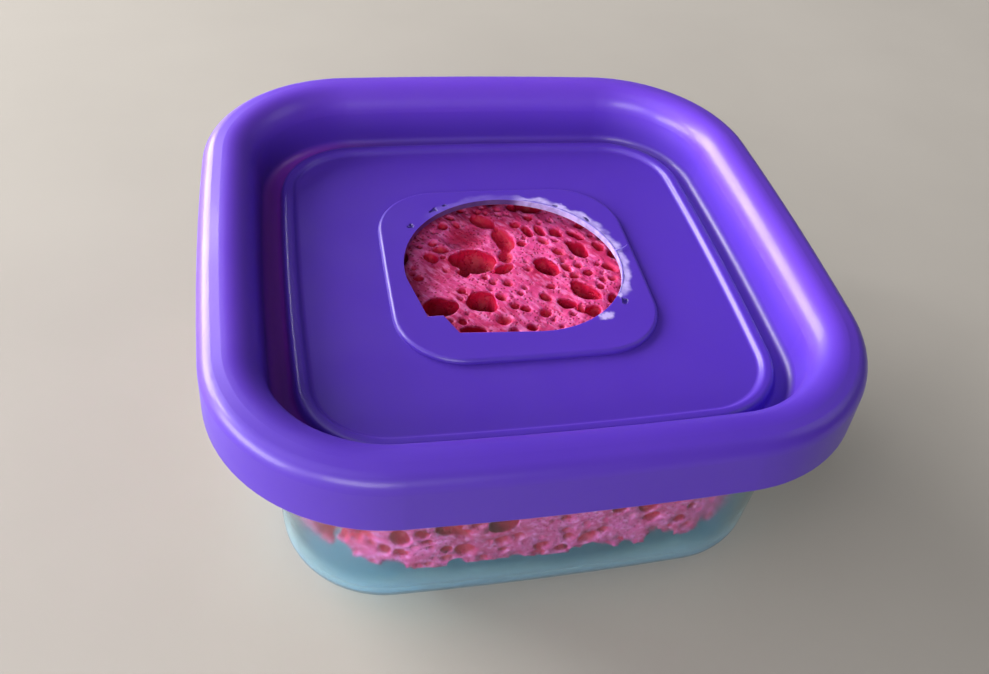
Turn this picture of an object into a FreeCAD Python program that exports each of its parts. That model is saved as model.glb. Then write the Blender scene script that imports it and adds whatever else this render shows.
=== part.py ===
import FreeCAD, Part
import math
import os

import Sketcher
from FreeCAD import Vector

# A palm-sized wet palette: a square tub, a damp sponge that fills it, and a press-on lid whose
# raised middle pad has a hole cut by hand, so that the sponge is reached with the lid on.
# Millimetres, +Z up, origin in the middle of the face that the tub stands on.

# Driving dimensions. Every plan outline is a square with slightly bowed sides and round corners.
SIZES = {
    # Lid, seen from above
    "lid_width": 105.0,
    "lid_corner_radius": 27.5,
    "lid_side_radius": 700.0,
    # Lid section, from the outer skirt to the middle panel. The overall height is to the corner where
    # the bead's top and inner side would meet, which its inner radius then takes off.
    "overall_height": 46.1,
    "lid_wall": 1.1,
    "least_radius": 0.2,
    "skirt_height": 9.5,
    "skirt_draft": 0.35,
    "skirt_lip_radius": 0.4,
    "bead_width": 8.8,
    "bead_crown": 1.5,
    "bead_outer_radius": 2.6,
    "bead_inner_radius": 4.6,
    "recess_depth": 10.3,
    "recess_wall_lean": 1.0,
    "groove_depth": 1.5,
    "groove_width": 3.1,
    "groove_radius": 1.8,
    "rib_width": 3.0,
    "rib_height": 0.9,
    "rib_lean": 0.7,
    "rib_edge_radius": 0.9,
    "rib_under_radius": 0.5,
    "snap_ridge": 0.5,
    "snap_ridge_height": 1.6,
    # Raised pad in the middle of the lid
    "pad_width": 45.4,
    "pad_corner_radius": 11.5,
    "pad_height": 1.0,
    "pad_edge_radius": 0.7,
    # Hole that a knife left in the pad: most of a circle, drawn in a little round the front right,
    # straight cuts at the left and the front, and a small tab of plastic between those two
    "hole_diameter": 38.6,
    "hole_right_inset": 1.8,
    "hole_right_rise": 0.5,
    "hole_left_reach": 2.0,
    "hole_front_inset": 3.2,
    "hole_tab_reach": 11.8,
    "hole_tab_root": 17.0,
    "hole_tab_tip": 14.4,
    "hole_tab_foot": 12.4,
    # Tub
    "foot_width": 85.0,
    "foot_radius": 5.0,
    "tub_wall": 1.1,
    "tub_floor": 1.3,
    "tub_wall_lean": 1.6,
    "ledge_radius": 0.4,
    "rim_lip": 4.0,
    "rim_lip_radius": 0.3,
    "rim_inner_radius": 2.1,
    # Fits between the lid and the tub
    "mouth_clearance": 0.2,
    "rim_clearance": 0.2,
    "ledge_clearance": 0.3,
    # Sponge
    "sponge_side_clearance": 0.3,
    "sponge_headroom": 0.6,
    "sponge_crown_slope": 2.0,
    "sponge_corner_trim": 5.5,
    "sponge_bevel_width": 13.0,
    "sponge_bevel_height": 8.2,
    "sponge_edge_radius": 1.5,
    "sponge_crown_radius": 0.6,
    "pore_spacing": 9.0,
    "pore_small": 3.2,
    "pore_large": 7.2,
    "pore_edge_margin": 5.0,
}

# What follows from the driving dimensions: heights above the table and half widths from the middle.
FITS = {
    "lid_half": "Sizes.lid_width / 2",
    "bead_edge": "Sizes.overall_height - Sizes.bead_crown",
    "skirt_bottom": "Fits.bead_edge - Sizes.skirt_height",
    "skirt_top_half": "Fits.lid_half - Sizes.skirt_draft",
    "skirt_inner_half": "Fits.lid_half - Sizes.lid_wall",
    "ridge_top": "Fits.skirt_bottom + Sizes.snap_ridge_height",
    "ridge_crest": "Fits.skirt_bottom + Sizes.snap_ridge_height / 2",
    "ridge_half": "Fits.skirt_inner_half - Sizes.snap_ridge",
    "ridge_radius": "Sizes.snap_ridge / 2",
    "channel_top": "Fits.bead_edge - Sizes.lid_wall",
    "channel_outer_half": "Fits.skirt_top_half - Sizes.lid_wall",
    "channel_outer_radius": "max(Sizes.bead_outer_radius - Sizes.lid_wall; Sizes.least_radius)",
    "recess_top_half": "Fits.lid_half - Sizes.bead_width",
    "recess_base_half": "Fits.recess_top_half - Sizes.recess_wall_lean",
    "plug_top_half": "Fits.recess_top_half + Sizes.lid_wall",
    "plug_base_half": "Fits.recess_base_half + Sizes.lid_wall",
    "plug_radius": "Sizes.groove_radius + Sizes.lid_wall",
    "panel_top": "Sizes.overall_height - Sizes.recess_depth",
    "panel_under": "Fits.panel_top - Sizes.lid_wall",
    "groove_floor": "Fits.panel_top - Sizes.groove_depth",
    "groove_under": "Fits.groove_floor - Sizes.lid_wall",
    "rib_outer_half": "Fits.recess_base_half - Sizes.groove_width",
    "rib_outer_top_half": "Fits.rib_outer_half - Sizes.rib_lean",
    "rib_inner_half": "Fits.rib_outer_half - Sizes.rib_width",
    "rib_inner_top_half": "Fits.rib_inner_half + Sizes.rib_lean",
    "rib_top": "Fits.panel_top + Sizes.rib_height",
    "groove_under_half": "Fits.rib_outer_half - Sizes.lid_wall",
    "panel_land_half": "Fits.rib_inner_half - Sizes.lid_wall",
    "pad_half": "Sizes.pad_width / 2",
    "pad_top": "Fits.panel_top + Sizes.pad_height",
    "pad_under_half": "Fits.pad_half - Sizes.lid_wall",
    "pad_under_corner": "Sizes.pad_corner_radius - Sizes.lid_wall",
    "hole_radius": "Sizes.hole_diameter / 2",
    "hole_right_radius": "Fits.hole_radius - Sizes.hole_right_inset",
    "hole_front_reach": "Fits.hole_radius - Sizes.hole_front_inset",
    "rim_top": "Fits.channel_top",
    "rim_half": "Fits.ridge_half - Sizes.rim_clearance",
    "rim_inner_half": "Fits.rim_half - Sizes.tub_wall",
    "flange_under": "Fits.rim_top - Sizes.tub_wall",
    "lip_bottom": "Fits.rim_top - Sizes.rim_lip",
    "mouth_top_half": "Fits.plug_top_half + Sizes.mouth_clearance",
    "mouth_base_half": "Fits.plug_base_half + Sizes.mouth_clearance",
    "mouth_top_outer": "Fits.mouth_top_half + Sizes.tub_wall",
    "mouth_base_outer": "Fits.mouth_base_half + Sizes.tub_wall",
    "ledge": "Fits.groove_under - Sizes.ledge_clearance",
    "ledge_under": "Fits.ledge - Sizes.tub_wall",
    "foot_half": "Sizes.foot_width / 2",
    "wall_top_half": "Fits.foot_half + Sizes.tub_wall_lean",
    "wall_top_inner": "Fits.wall_top_half - Sizes.tub_wall",
    "foot_inner_half": "Fits.foot_half - Sizes.tub_wall",
    "foot_inner_radius": "Sizes.foot_radius - Sizes.tub_wall",
    "floor_land_half": "Fits.foot_half - Sizes.foot_radius - Sizes.tub_wall",
    "sponge_top": "Fits.groove_under - Sizes.sponge_headroom",
    "sponge_foot_half": "Fits.foot_inner_half - Sizes.sponge_side_clearance",
    "sponge_top_half": "Fits.wall_top_inner - Sizes.sponge_side_clearance",
    "sponge_taper": "(Fits.sponge_top_half - Fits.sponge_foot_half) / (Fits.sponge_top - Sizes.tub_floor)",
    "sponge_edge": "Sizes.tub_floor + Sizes.sponge_bevel_height",
    "sponge_edge_half": "Fits.sponge_foot_half + Fits.sponge_taper * Sizes.sponge_bevel_height",
    "sponge_seat_half": "Fits.sponge_edge_half - Sizes.sponge_bevel_width",
    "crown_top": "Fits.panel_under - Sizes.sponge_headroom",
    "crown_room": "Fits.sponge_top_half - 2 * Sizes.sponge_edge_radius",
    "crown_foot_half": "min(Fits.groove_under_half - Sizes.sponge_side_clearance; Fits.crown_room)",
    "crown_top_half": "Fits.crown_foot_half - Sizes.sponge_crown_slope",
    "sponge_core_half": "min(Fits.sponge_seat_half; Fits.crown_top_half) - Sizes.sponge_edge_radius",
    "pore_field_half": "Fits.crown_top_half - Sizes.pore_edge_margin",
}

# Pores sink this share of their radius below the sponge's surface.
PORE_SINK = 0.2
GOLDEN_RATIO = (1 + math.sqrt(5)) / 2

doc = FreeCAD.newDocument("WetPalette")


def make_sheet(name, cells):
    """A sheet with a name in column A and an aliased value or formula in column B."""
    sheet = doc.addObject("Spreadsheet::Sheet", name)
    for row, (alias, content) in enumerate(cells.items(), start=1):
        sheet.set(f"A{row}", alias)
        sheet.set(f"B{row}", content)
        sheet.setAlias(f"B{row}", alias)
    doc.recompute()
    return sheet


sizes = make_sheet("Sizes", {alias: str(value) for alias, value in SIZES.items()})
fits = make_sheet("Fits", {alias: "=" + formula.replace("Fits.", "") for alias, formula in FITS.items()})


def expression(alias):
    """The alias as an expression that names its sheet."""
    return f"Sizes.{alias}" if alias in SIZES else f"Fits.{alias}"


def value(alias):
    """The alias as a number, in millimetres."""
    return float((sizes if alias in SIZES else fits).get(alias))


def new_body(label):
    body = doc.addObject("PartDesign::Body", label)
    body.Label = label
    return body


def new_sketch(body, name, role, height=None):
    """An empty sketch on one of the body's origin planes, lifted to a height from the sheets."""
    sketch = body.newObject("Sketcher::SketchObject", name)
    plane = next(feature for feature in body.Origin.OriginFeatures if feature.Role == role)
    sketch.AttachmentSupport = [(plane, "")]
    sketch.MapMode = "FlatFace"
    if height:
        sketch.setExpression("AttachmentOffset.Base.z", expression(height))
    return sketch


def add_constraint(sketch, *terms, formula=None):
    """Adds a constraint and binds its size to a formula, if it has one."""
    index = sketch.addConstraint(Sketcher.Constraint(*terms))
    if formula:
        sketch.setExpression(f"Constraints[{index}]", formula)


def evaluate(formula):
    """A formula's value, worked out by the sheet itself."""
    return float(sizes.evalExpression(formula))


def draw_outline(body, name, half, corner, side, height=None):
    """A square with bowed sides and round corners. It starts and ends in the middle of its right
    side, so that a section drawn in the XZ plane stands square to it there."""
    sketch = new_sketch(body, name, "XY_Plane", height)
    half_width, corner_radius, side_radius = evaluate(half), evaluate(corner), evaluate(side)
    setback = side_radius - half_width
    reach = side_radius - corner_radius
    corner_centre = (math.sqrt(2 * reach**2 - setback**2) - setback) / 2
    lean = math.atan2(corner_centre, corner_centre + setback)

    def arc(turn, x, y, radius, start, end):
        """An arc given for the right side or first corner, turned to its own quarter."""
        cosine, sine = round(math.cos(turn)), round(math.sin(turn))
        centre = Vector(cosine * x - sine * y, sine * x + cosine * y, 0)
        circle = Part.Circle(centre, Vector(0, 0, 1), radius)
        return sketch.addGeometry(Part.ArcOfCircle(circle, turn + start, turn + end), False)

    quarters = [quarter * math.pi / 2 for quarter in range(4)]
    chain = []
    for turn in quarters:
        chain.append(arc(turn, -setback, 0, side_radius, -lean if turn else 0, lean))
        chain.append(arc(turn, corner_centre, corner_centre, corner_radius, lean, math.pi / 2 - lean))
    chain.append(arc(0, -setback, 0, side_radius, -lean, 0))

    axes = {"x": -1, "y": -2}
    start, end, centre = 1, 2, 3
    for first, second in zip(chain, chain[1:]):
        add_constraint(sketch, "Tangent", first, end, second, start)
    add_constraint(sketch, "Tangent", chain[-1], end, chain[0], start)
    add_constraint(sketch, "Equal", chain[-1], chain[0])
    add_constraint(sketch, "PointOnObject", chain[0], start, axes["x"])
    for index, (axis, kind, outward) in enumerate(
        [("x", "DistanceX", 1), ("y", "DistanceY", 1), ("x", "DistanceX", -1), ("y", "DistanceY", -1)]
    ):
        edge = chain[2 * index]
        add_constraint(sketch, "PointOnObject", edge, centre, axes[axis])
        add_constraint(sketch, "Radius", edge, side_radius, formula=side)
        ends = (edge, centre, -1, 1) if outward > 0 else (-1, 1, edge, centre)
        add_constraint(sketch, kind, *ends, setback, formula=f"({side}) - ({half})")
        add_constraint(sketch, "Radius", chain[2 * index + 1], corner_radius, formula=corner)
    return sketch


def inset_outline(body, name, half, height=None):
    """The lid's outline drawn in by the same distance all round, to a half width from the sheets."""
    inset = f"(Fits.lid_half - {expression(half)})"
    return draw_outline(
        body,
        name,
        expression(half),
        f"Sizes.lid_corner_radius - {inset}",
        f"Sizes.lid_side_radius - {inset}",
        height,
    )


def draw_section(body, name, corners):
    """A closed section in the XZ plane through corners (half width, height, radius). A corner with
    a radius is rounded by an arc tangent to both its edges, and a height of None is the table."""
    sketch = new_sketch(body, name, "XZ_Plane")
    points = [Vector(value(x), value(z) if z else 0, 0) for x, z, _ in corners]
    count = len(points)
    start, end = 1, 2

    trims = []
    for index, (_, _, radius) in enumerate(corners):
        here = points[index]
        back = (points[index - 1] - here).normalize()
        ahead = (points[(index + 1) % count] - here).normalize()
        half_angle = back.getAngle(ahead) / 2
        trim = value(radius) / math.tan(half_angle) if radius else 0
        trims.append((here + back * trim, here + ahead * trim))

    edges = []
    for index in range(count):
        line = Part.LineSegment(trims[index][1], trims[(index + 1) % count][0])
        edges.append(sketch.addGeometry(line, False))

    for index, (x, z, radius) in enumerate(corners):
        before, after = edges[index - 1], edges[index]
        if radius:
            corner = sketch.addGeometry(Part.Point(points[index]), True)
            anchor = (corner, start)
            add_constraint(sketch, "PointOnObject", corner, start, before)
            add_constraint(sketch, "PointOnObject", corner, start, after)
            add_round(sketch, before, after, points, index, trims[index], radius)
        else:
            anchor = (after, start)
            add_constraint(sketch, "Coincident", before, end, after, start)
        add_constraint(sketch, "DistanceX", -1, 1, *anchor, points[index].x, formula=expression(x))
        if z:
            add_constraint(sketch, "DistanceY", -1, 1, *anchor, points[index].y, formula=expression(z))
        else:
            add_constraint(sketch, "PointOnObject", *anchor, -1)
    return sketch


def add_round(sketch, before, after, points, index, ends, radius):
    """The tangent arc between two edges of a section."""
    here, behind, beyond = points[index], points[index - 1], points[(index + 1) % len(points)]
    size = value(radius)
    bisector = ((ends[0] + ends[1]) * 0.5 - here).normalize()
    centre = here + bisector * math.hypot(size, (ends[0] - here).Length)
    turns_left = (here - behind).cross(beyond - here).z > 0
    first, last = ends if turns_left else reversed(ends)
    angles = [math.atan2(point.y - centre.y, point.x - centre.x) for point in (first, last)]
    if angles[1] < angles[0]:
        angles[1] += 2 * math.pi
    circle = Part.Circle(centre, Vector(0, 0, 1), size)
    arc = sketch.addGeometry(Part.ArcOfCircle(circle, *angles), False)
    start, end = 1, 2
    arc_in, arc_out = (start, end) if turns_left else (end, start)
    add_constraint(sketch, "Tangent", before, end, arc, arc_in)
    add_constraint(sketch, "Tangent", arc, arc_out, after, start)
    add_constraint(sketch, "Radius", arc, size, formula=expression(radius))


def sweep(body, name, section, spine):
    """The section carried once round the spine."""
    pipe = body.newObject("PartDesign::AdditivePipe", name)
    pipe.Profile = (section, [""])
    pipe.Spine = (spine, [""])
    doc.recompute()
    return pipe


def raise_plate(body, name, sketch, thickness):
    """A flat plate upwards from a sketch."""
    pad = body.newObject("PartDesign::Pad", name)
    pad.Profile = (sketch, [""])
    pad.setExpression("Length", thickness)
    doc.recompute()
    return pad


def cut(body, name, sketch, depth, upwards):
    """A pocket from a sketch, upwards or downwards, which has to take material away."""
    before = body.Shape.Volume
    pocket = body.newObject("PartDesign::Pocket", name)
    pocket.Profile = (sketch, [""])
    pocket.Reversed = upwards
    pocket.setExpression("Length", depth)
    doc.recompute()
    if body.Shape.Volume >= before:
        raise RuntimeError(f"{name} cut nothing")
    return pocket


def round_level_edges(body, name, feature, height, reach, radius):
    """Rounds the edges that lie at one height, within a reach of the middle."""
    level, limit = value(height), value(reach)
    names = []
    for index, edge in enumerate(feature.Shape.Edges, start=1):
        box = edge.BoundBox
        flat = max(abs(box.ZMin - level), abs(box.ZMax - level)) < 1e-4
        near = max(abs(box.XMin), abs(box.XMax), abs(box.YMin), abs(box.YMax)) < limit + 1e-4
        if flat and near:
            names.append(f"Edge{index}")
    fillet = body.newObject("PartDesign::Fillet", name)
    fillet.Base = (feature, names)
    fillet.setExpression("Radius", expression(radius))
    doc.recompute()
    return fillet


def draw_hole(body, name, height):
    """The hole's outline as the knife left it: the round stretch, the straight cut at the left, the
    tab, the straight cut at the front, and the tighter curve from there back to the round stretch."""
    sketch = new_sketch(body, name, "XY_Plane", height)
    radius, left = value("hole_radius"), value("hole_left_reach")
    tab, front = value("hole_tab_reach"), value("hole_front_reach")
    inset, rise = value("hole_right_inset"), value("hole_right_rise")
    right_radius = value("hole_right_radius")
    right_centre = Vector(math.sqrt(inset**2 - rise**2), rise, 0)
    left_top = Vector(-math.sqrt(radius**2 - left**2), -left, 0)
    tab_root = Vector(-value("hole_tab_root"), -tab, 0)
    tab_tip = Vector(-value("hole_tab_tip"), -tab, 0)
    tab_foot = Vector(-value("hole_tab_foot"), -front, 0)
    to_foot = tab_foot - right_centre
    front_angle = math.atan2(to_foot.y, to_foot.x) + math.acos(right_radius / to_foot.Length)
    meeting_angle = math.atan2(right_centre.y, right_centre.x)
    left_angle = math.atan2(left_top.y, left_top.x) + 2 * math.pi
    front_end = right_centre + Vector(math.cos(front_angle), math.sin(front_angle), 0) * right_radius

    def arc(middle, size, first, last):
        circle = Part.Circle(middle, Vector(0, 0, 1), size)
        return sketch.addGeometry(Part.ArcOfCircle(circle, first, last), False)

    round_cut = arc(Vector(0, 0, 0), radius, meeting_angle, left_angle)
    corners = [left_top, tab_root, tab_tip, tab_foot, front_end]
    lines = [sketch.addGeometry(Part.LineSegment(a, b), False) for a, b in zip(corners, corners[1:])]
    left_cut, tab_edge, _, front_cut = lines
    right_cut = arc(right_centre, right_radius, front_angle, meeting_angle)

    start, end, centre = 1, 2, 3
    chain = [round_cut, *lines]
    for first, second in zip(chain, chain[1:]):
        add_constraint(sketch, "Coincident", first, end, second, start)
    add_constraint(sketch, "Tangent", front_cut, end, right_cut, start)
    add_constraint(sketch, "Tangent", right_cut, end, round_cut, start)
    add_constraint(sketch, "Coincident", round_cut, centre, -1, 1)
    add_constraint(sketch, "Radius", round_cut, radius, formula="Fits.hole_radius")
    add_constraint(sketch, "Radius", right_cut, right_radius, formula="Fits.hole_right_radius")
    add_constraint(sketch, "DistanceY", -1, 1, right_cut, centre, rise, formula="Sizes.hole_right_rise")
    add_constraint(sketch, "Horizontal", tab_edge)
    for edge, place, kind, alias in [
        (left_cut, start, "DistanceY", "hole_left_reach"),
        (tab_edge, start, "DistanceY", "hole_tab_reach"),
        (tab_edge, start, "DistanceX", "hole_tab_root"),
        (tab_edge, end, "DistanceX", "hole_tab_tip"),
        (front_cut, start, "DistanceX", "hole_tab_foot"),
        (front_cut, start, "DistanceY", "hole_front_reach"),
    ]:
        add_constraint(sketch, kind, edge, place, -1, 1, value(alias), formula=expression(alias))
    return sketch


def make_lid():
    """A moulding: a skirt, a broad bead over the tub's rim that rises to a soft crest on its inner
    side, a plug that drops into the tub's mouth, a groove and rib round the middle panel, and a
    raised pad with the hole in it."""
    body = new_body("lid")
    outline = inset_outline(body, "lid_outline", "lid_half")
    section = draw_section(
        body,
        "lid_section",
        [
            ("lid_half", "skirt_bottom", "skirt_lip_radius"),
            ("skirt_top_half", "bead_edge", "bead_outer_radius"),
            ("recess_top_half", "overall_height", "bead_inner_radius"),
            ("recess_base_half", "groove_floor", "groove_radius"),
            ("rib_outer_half", "groove_floor", "rib_edge_radius"),
            ("rib_outer_top_half", "rib_top", "rib_edge_radius"),
            ("rib_inner_top_half", "rib_top", "rib_edge_radius"),
            ("rib_inner_half", "panel_top", "rib_edge_radius"),
            ("panel_land_half", "panel_top", None),
            ("panel_land_half", "panel_under", None),
            ("groove_under_half", "panel_under", "rib_under_radius"),
            ("groove_under_half", "groove_under", "rib_under_radius"),
            ("plug_base_half", "groove_under", "plug_radius"),
            ("plug_top_half", "channel_top", "rim_inner_radius"),
            ("channel_outer_half", "channel_top", "channel_outer_radius"),
            ("skirt_inner_half", "ridge_top", None),
            ("ridge_half", "ridge_crest", "ridge_radius"),
            ("skirt_inner_half", "skirt_bottom", None),
        ],
    )
    sweep(body, "lid_ring", section, outline)

    panel = inset_outline(body, "panel_outline", "rib_inner_half", "panel_under")
    raise_plate(body, "panel_plate", panel, "Sizes.lid_wall")

    pad_shape = ("Fits.pad_half", "Sizes.pad_corner_radius", "Sizes.lid_side_radius")
    pad = draw_outline(body, "pad_outline", *pad_shape, "panel_under")
    raised = raise_plate(body, "pad_plate", pad, "Sizes.lid_wall + Sizes.pad_height")
    round_level_edges(body, "pad_edge", raised, "pad_top", "pad_half", "pad_edge_radius")
    under_shape = ("Fits.pad_under_half", "Fits.pad_under_corner", "Sizes.lid_side_radius")
    under = draw_outline(body, "pad_under_outline", *under_shape, "panel_under")
    cut(body, "pad_under", under, "Sizes.pad_height", upwards=True)

    hole = draw_hole(body, "hole_outline", "pad_top")
    cut(body, "hole", hole, "2 * Sizes.lid_wall + Sizes.pad_height", upwards=False)
    return body


def make_tub():
    """A tub of even wall with a round foot, a ledge under the lid's plug and a turned-down rim."""
    body = new_body("tub")
    outline = inset_outline(body, "tub_outline", "lid_half")
    section = draw_section(
        body,
        "tub_section",
        [
            ("floor_land_half", None, None),
            ("foot_half", None, "foot_radius"),
            ("wall_top_half", "ledge_under", "ledge_radius"),
            ("mouth_base_outer", "ledge_under", "ledge_radius"),
            ("mouth_top_outer", "flange_under", "ledge_radius"),
            ("rim_inner_half", "flange_under", "ledge_radius"),
            ("rim_inner_half", "lip_bottom", "rim_lip_radius"),
            ("rim_half", "lip_bottom", "rim_lip_radius"),
            ("rim_half", "rim_top", "channel_outer_radius"),
            ("mouth_top_half", "rim_top", "rim_inner_radius"),
            ("mouth_base_half", "ledge", "ledge_radius"),
            ("wall_top_inner", "ledge", "ledge_radius"),
            ("foot_inner_half", "tub_floor", "foot_inner_radius"),
            ("floor_land_half", "tub_floor", None),
        ],
    )
    sweep(body, "tub_wall_ring", section, outline)
    plate = inset_outline(body, "floor_outline", "floor_land_half")
    raise_plate(body, "floor_plate", plate, "Sizes.tub_floor")
    return body


def sponge_outline(body, name, half, height=None):
    """The lid's outline drawn in to a half width, with the corners trimmed rounder."""
    inset = f"(Fits.lid_half - {expression(half)})"
    return draw_outline(
        body,
        name,
        expression(half),
        f"Sizes.lid_corner_radius - {inset} + Sizes.sponge_corner_trim",
        f"Sizes.lid_side_radius - {inset}",
        height,
    )


def make_sponge_block():
    """The sponge as trimmed to fit the tub: tapered like the wall, with its lower edge torn away to
    clear the round foot, and pressed down round its top edge by the lid's groove, so that its
    middle stands up under the lid's panel."""
    body = new_body("sponge_block")
    outline = sponge_outline(body, "sponge_outline", "sponge_top_half")
    section = draw_section(
        body,
        "sponge_section",
        [
            ("sponge_core_half", "tub_floor", None),
            ("sponge_seat_half", "tub_floor", "sponge_edge_radius"),
            ("sponge_edge_half", "sponge_edge", "sponge_edge_radius"),
            ("sponge_top_half", "sponge_top", "sponge_edge_radius"),
            ("crown_foot_half", "sponge_top", "sponge_crown_radius"),
            ("crown_top_half", "crown_top", "sponge_crown_radius"),
            ("sponge_core_half", "crown_top", None),
        ],
    )
    sweep(body, "sponge_ring", section, outline)
    core = sponge_outline(body, "sponge_core_outline", "sponge_core_half", "tub_floor")
    raise_plate(body, "sponge_core", core, "Fits.crown_top - Sizes.tub_floor")
    sponge_outline(body, "pore_field_outline", "pore_field_half", "crown_top")
    doc.recompute()
    return body


def pore_radius(index):
    """Pore radii spread evenly between the small and the large one, in a mixed order."""
    small, large = value("pore_small") / 2, value("pore_large") / 2
    return small + (large - small) * (index * GOLDEN_RATIO**2 % 1) ** 2


def make_pores(block):
    """The larger open cells of the crown, in a sunflower pattern that fills it evenly."""
    top = value("crown_top")
    spread = value("pore_spacing") / math.sqrt(math.pi)
    reach = math.sqrt(2) * value("pore_field_half")
    field = Part.Face(block.getObject("pore_field_outline").Shape.Wires[0])
    level = field.CenterOfMass.z
    cells = []
    for index in range(1, int((reach / spread) ** 2)):
        turn = 2 * math.pi * index / GOLDEN_RATIO**2
        distance = spread * math.sqrt(index)
        place = Vector(distance * math.cos(turn), distance * math.sin(turn), level)
        if field.isInside(place, 1e-3, True):
            radius = pore_radius(index)
            cells.append(Part.makeSphere(radius, Vector(place.x, place.y, top - PORE_SINK * radius)))
    pores = doc.addObject("Part::Feature", "pores")
    pores.Shape = Part.makeCompound(cells)
    return pores


def make_sponge():
    """The block with its larger pores opened."""
    block = make_sponge_block()
    sponge = doc.addObject("Part::Cut", "sponge")
    sponge.Base = block
    sponge.Tool = make_pores(block)
    sponge.Label = "sponge"
    doc.recompute()
    return sponge


def check_document():
    """Stops on any object that failed to build."""
    for item in doc.Objects:
        if {"Invalid", "Error"} & set(item.State):
            raise RuntimeError(f"{item.Label}: {item.State}")
        if item.TypeId == "Sketcher::SketchObject" and not item.FullyConstrained:
            raise RuntimeError(f"{item.Label} is not fully constrained")


parts = [make_tub(), make_sponge(), make_lid()]
doc.recompute()
check_document()
os.makedirs("parts", exist_ok=True)
for part in parts:
    shape = part.Shape
    if shape.isNull() or not shape.isValid() or len(shape.Solids) != 1:
        raise RuntimeError(f"{part.Label} is not one valid solid")
    solid = shape.Solids[0]
    box = solid.optimalBoundingBox()
    spans = f"{box.XLength:.1f} x {box.YLength:.1f} x {box.ZLength:.1f} mm"
    print(f"{part.Label}: {solid.Volume:.0f} mm3, {spans}")
    solid.exportStep(os.path.join("parts", f"{part.Label}.step"))
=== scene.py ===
import math

import bmesh
import bpy
import numpy as np
from mathutils import Euler, Matrix, Vector, noise
from mathutils.bvhtree import BVHTree


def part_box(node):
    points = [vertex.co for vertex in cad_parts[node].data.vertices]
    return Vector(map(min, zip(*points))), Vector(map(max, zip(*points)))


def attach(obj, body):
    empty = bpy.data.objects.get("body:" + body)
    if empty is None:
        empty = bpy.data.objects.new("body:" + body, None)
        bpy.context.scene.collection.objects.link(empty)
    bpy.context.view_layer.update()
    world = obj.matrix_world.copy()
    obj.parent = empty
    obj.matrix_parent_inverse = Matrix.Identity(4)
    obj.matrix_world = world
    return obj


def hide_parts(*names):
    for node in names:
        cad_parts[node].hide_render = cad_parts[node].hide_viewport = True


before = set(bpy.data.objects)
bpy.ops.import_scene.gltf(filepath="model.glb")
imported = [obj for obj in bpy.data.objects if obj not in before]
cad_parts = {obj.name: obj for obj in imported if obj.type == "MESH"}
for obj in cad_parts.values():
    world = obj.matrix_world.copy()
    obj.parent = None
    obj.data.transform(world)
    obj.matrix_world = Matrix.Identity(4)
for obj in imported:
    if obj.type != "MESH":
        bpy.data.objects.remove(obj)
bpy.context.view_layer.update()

# The looks of a wet palette made from a small food tub: a satin purple lid with a hand-cut hole,
# a hazy aqua tub, and a damp pink sponge whose pores show through both.

MM = 0.001

# The photograph's camera, in the part's own frame
CAMERA_PLACE = Vector((-37.1, -128.9, 145.4)) * MM
CAMERA_AZIMUTH = math.radians(-19.6)
CAMERA_ELEVATION = math.radians(44.4)
CAMERA_ROLL = math.radians(9.7)
CAMERA_LENS = 35.67
CAMERA_SHIFT = (-0.0524, 0.0269)

# The studio's soft lights: name, azimuth and elevation in degrees, width and height in metres, and watts
LIGHT_TARGET = Vector((0, 0, 30)) * MM
LIGHT_DISTANCE = 1.6
WINDOWS = [
    ("window", 278, 12, 1.3, 0.6, 34),
    ("tall_pane", 224, 22, 1.2, 0.8, 47),
    ("bright_pane", 250, 30, 0.2, 0.3, 5),
    ("front_fill", 336, 27, 0.9, 0.6, 16),
    ("top_fill", 280, 68, 1.0, 1.0, 4),
    ("right_fill", 90, 40, 0.8, 0.8, 2.5),
]
LAMP_COLOUR = "#fffaf4"

# The dim room round the lights, and the floor's half width in metres
ROOM_COLOUR = "#c8ccd6"
ROOM_STRENGTH = 0.1
FLOOR_HALF = 3.0

# The lid's heights, the circle that the round cut of the hole in its raised pad follows, and how far
# from its middle a cut face can lie
BEAD_SHOULDER = 43.5 * MM
PAD_TOP = 36.8 * MM
PANEL_TOP = 35.8 * MM
GROOVE_FLOOR = 34.3 * MM
CUT_MIDDLE = Vector((0.6, 0.7, 0)) * MM
CUT_RADIUS = 18.5 * MM
CUT_REACH = 21.0 * MM

# Where painted light on the lid's plastic changes: a painted plum glow from left to right in the groove,
# over the sponge, and painted light from front to back in the bead
GROOVE_GLOW_FROM = -40 * MM
GROOVE_GLOW_TO = -10 * MM
BEAD_LIGHT_FROM = -45 * MM
BEAD_LIGHT_TO = -15 * MM

# The stretch of that cut which the knife whitened, as bearings from the x axis, the fainter stretch
# after it, how wide, ragged and streaked the white is, and how softly it ends
WHITENED_FROM = math.radians(-31)
WHITENED_TO = math.radians(80)
FAINT_TO = math.radians(135)
FAINT_SHARE = 0.15
WHITENED_WIDTH = 1.5 * MM
WHITENED_FADE = 0.5 * MM
RAGGED_GRAIN = 3.0 * MM
RAGGED_REACH = 3.0 * MM
STREAK_GRAIN = 1.6 * MM
END_SOFTNESS = (-0.06, 0.1)

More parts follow.
